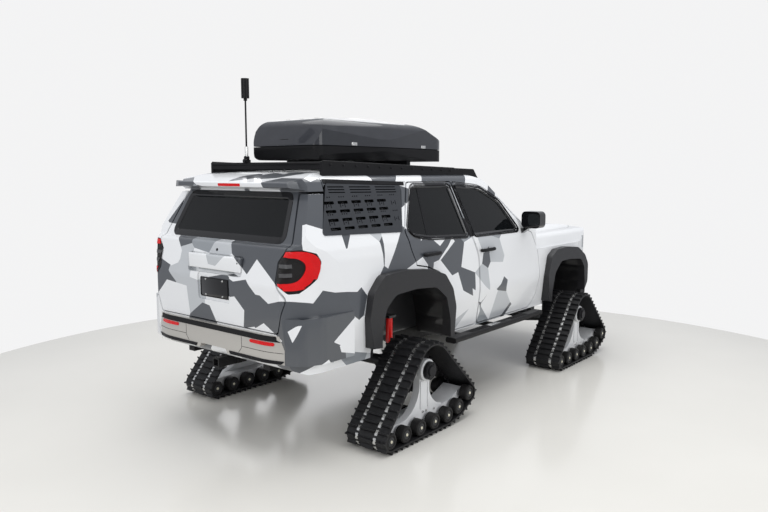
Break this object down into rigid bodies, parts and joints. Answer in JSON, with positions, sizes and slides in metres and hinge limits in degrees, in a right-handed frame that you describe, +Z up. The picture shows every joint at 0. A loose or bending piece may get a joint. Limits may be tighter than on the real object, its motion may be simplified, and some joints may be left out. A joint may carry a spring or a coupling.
{
  "type": "tracked sport utility vehicle",
  "caption": "Estate-bodied off-road vehicle on a ladder frame, standing on a rubber track unit at each hub, with a roof rack, a roof box and a short mast.",
  "frame": {"origin": "on the ground under the middle of the vehicle", "axes": "+X forward along the vehicle, +Y to its left, +Z up"},
  "size_m": [4.95, 2.42, 2.812],
  "materials": {
    "paint_white": "gloss paint",
    "frame_black": "satin black",
    "glass_dark": "dark tinted",
    "trim_black": "satin black plastic",
    "bumper_grey": "satin warm grey",
    "lamp_clear": "clear lens",
    "lamp_red": "red and smoked lens",
    "rack_black": "black coated",
    "box_grey": "dark grey gloss",
    "box_base_black": "black",
    "steel_dark": "dark castings",
    "damper_red": "red coated",
    "engine_grey": "plain block",
    "exhaust_steel": "dull steel",
    "seat_cloth": "black cloth",
    "dash_dark": "grained",
    "mast_dark": "satin",
    "track_rubber": "black rubber",
    "track_casting": "light grey coated",
    "roller_dark": "black rubber on steel",
    "sprocket_dark": "dark steel"
  },
  "bodies": {
    "vehicle": {"body_shell": "paint_white", "chassis_frame": "frame_black", "fixed_glass": "glass_dark", "side_panels": "trim_black", "front_bumper": "trim_black", "rear_bumper": "bumper_grey", "grille": "trim_black", "headlamps": "lamp_clear", "tail_lamps": "lamp_red", "fender_flares": "trim_black", "side_steps": "frame_black", "roof_rack": "rack_black", "roof_box_base": "box_base_black", "mast_foot": "rack_black", "front_suspension": "steel_dark", "rear_axle": "steel_dark", "dampers": "damper_red", "engine_block": "engine_grey", "driveline": "steel_dark", "fuel_tank": "trim_black", "exhaust": "exhaust_steel", "seats": "seat_cloth", "dashboard": "dash_dark"},
    "hood": {"hood": "paint_white"},
    "tailgate": {"tailgate": "paint_white", "tailgate_glass": "glass_dark"},
    "roof_box_lid": {"roof_box_lid": "box_grey"},
    "mast": {"mast": "mast_dark"},
    "door_front_left": {"door_front_left": "paint_white", "glass_front_left": "glass_dark", "mirror_left": "trim_black"},
    "track_unit_front_left": {"track_front_left": "track_rubber", "track_frame_front_left": "track_casting", "track_rollers_front_left": "roller_dark", "sprocket_front_left": "sprocket_dark"},
    "door_front_right": {"door_front_right": "paint_white", "glass_front_right": "glass_dark", "mirror_right": "trim_black"},
    "track_unit_front_right": {"track_front_right": "track_rubber", "track_frame_front_right": "track_casting", "track_rollers_front_right": "roller_dark", "sprocket_front_right": "sprocket_dark"},
    "door_rear_left": {"door_rear_left": "paint_white", "glass_rear_left": "glass_dark"},
    "track_unit_rear_left": {"track_rear_left": "track_rubber", "track_frame_rear_left": "track_casting", "track_rollers_rear_left": "roller_dark", "sprocket_rear_left": "sprocket_dark"},
    "door_rear_right": {"door_rear_right": "paint_white", "glass_rear_right": "glass_dark"},
    "track_unit_rear_right": {"track_rear_right": "track_rubber", "track_frame_rear_right": "track_casting", "track_rollers_rear_right": "roller_dark", "sprocket_rear_right": "sprocket_dark"},
    "knuckle_left": {"knuckle_left": "steel_dark"},
    "knuckle_right": {"knuckle_right": "steel_dark"}
  },
  "joints": [
    {"name": "front_door_left", "type": "hinge", "parent": "vehicle", "child": "door_front_left", "pos_m": [1.036, 0.936, 1], "axis": [0, 0, -1], "range_deg": [0, 65]},
    {"name": "rear_door_left", "type": "hinge", "parent": "vehicle", "child": "door_rear_left", "pos_m": [-0.158, 0.936, 1], "axis": [0, 0, -1], "range_deg": [0, 65]},
    {"name": "steer_left", "type": "hinge", "parent": "vehicle", "child": "knuckle_left", "pos_m": [1.57, 0.74, 0.514], "axis": [0, 0, 1], "range_deg": [-20, 20]},
    {"name": "track_tilt_front_left", "type": "hinge", "parent": "knuckle_left", "child": "track_unit_front_left", "pos_m": [1.57, 1.0185, 0.514], "axis": [0, 1, 0], "range_deg": [-8, 8]},
    {"name": "track_tilt_rear_left", "type": "hinge", "parent": "vehicle", "child": "track_unit_rear_left", "pos_m": [-1.28, 1.0185, 0.514], "axis": [0, 1, 0], "range_deg": [-8, 8]},
    {"name": "front_door_right", "type": "hinge", "parent": "vehicle", "child": "door_front_right", "pos_m": [1.036, -0.936, 1], "axis": [0, 0, 1], "range_deg": [0, 65]},
    {"name": "rear_door_right", "type": "hinge", "parent": "vehicle", "child": "door_rear_right", "pos_m": [-0.158, -0.936, 1], "axis": [0, 0, 1], "range_deg": [0, 65]},
    {"name": "steer_right", "type": "hinge", "parent": "vehicle", "child": "knuckle_right", "pos_m": [1.57, -0.74, 0.514], "axis": [0, 0, 1], "range_deg": [-20, 20]},
    {"name": "track_tilt_front_right", "type": "hinge", "parent": "knuckle_right", "child": "track_unit_front_right", "pos_m": [1.57, -1.0185, 0.514], "axis": [0, 1, 0], "range_deg": [-8, 8]},
    {"name": "track_tilt_rear_right", "type": "hinge", "parent": "vehicle", "child": "track_unit_rear_right", "pos_m": [-1.28, -1.0185, 0.514], "axis": [0, 1, 0], "range_deg": [-8, 8]},
    {"name": "tailgate_lift", "type": "hinge", "parent": "vehicle", "child": "tailgate", "pos_m": [-2.01, 0, 2.068], "axis": [0, 1, 0], "range_deg": [0, 75]},
    {"name": "hood_lift", "type": "hinge", "parent": "vehicle", "child": "hood", "pos_m": [0.828, 0, 1.508], "axis": [0, -1, 0], "range_deg": [0, 50]},
    {"name": "box_lid_lift", "type": "hinge", "parent": "vehicle", "child": "roof_box_lid", "pos_m": [-0.85, 0.428, 2.278], "axis": [-1, 0, 0], "range_deg": [0, 60]},
    {"name": "mast_fold", "type": "hinge", "parent": "vehicle", "child": "mast", "pos_m": [-1.934, 0.208, 2.185], "axis": [-1, 0, 0], "range_deg": [0, 90]}
  ],
  "couplings": [
    {"joint": "steer_right", "follows": "steer_left", "ratio": 1}
  ]
}
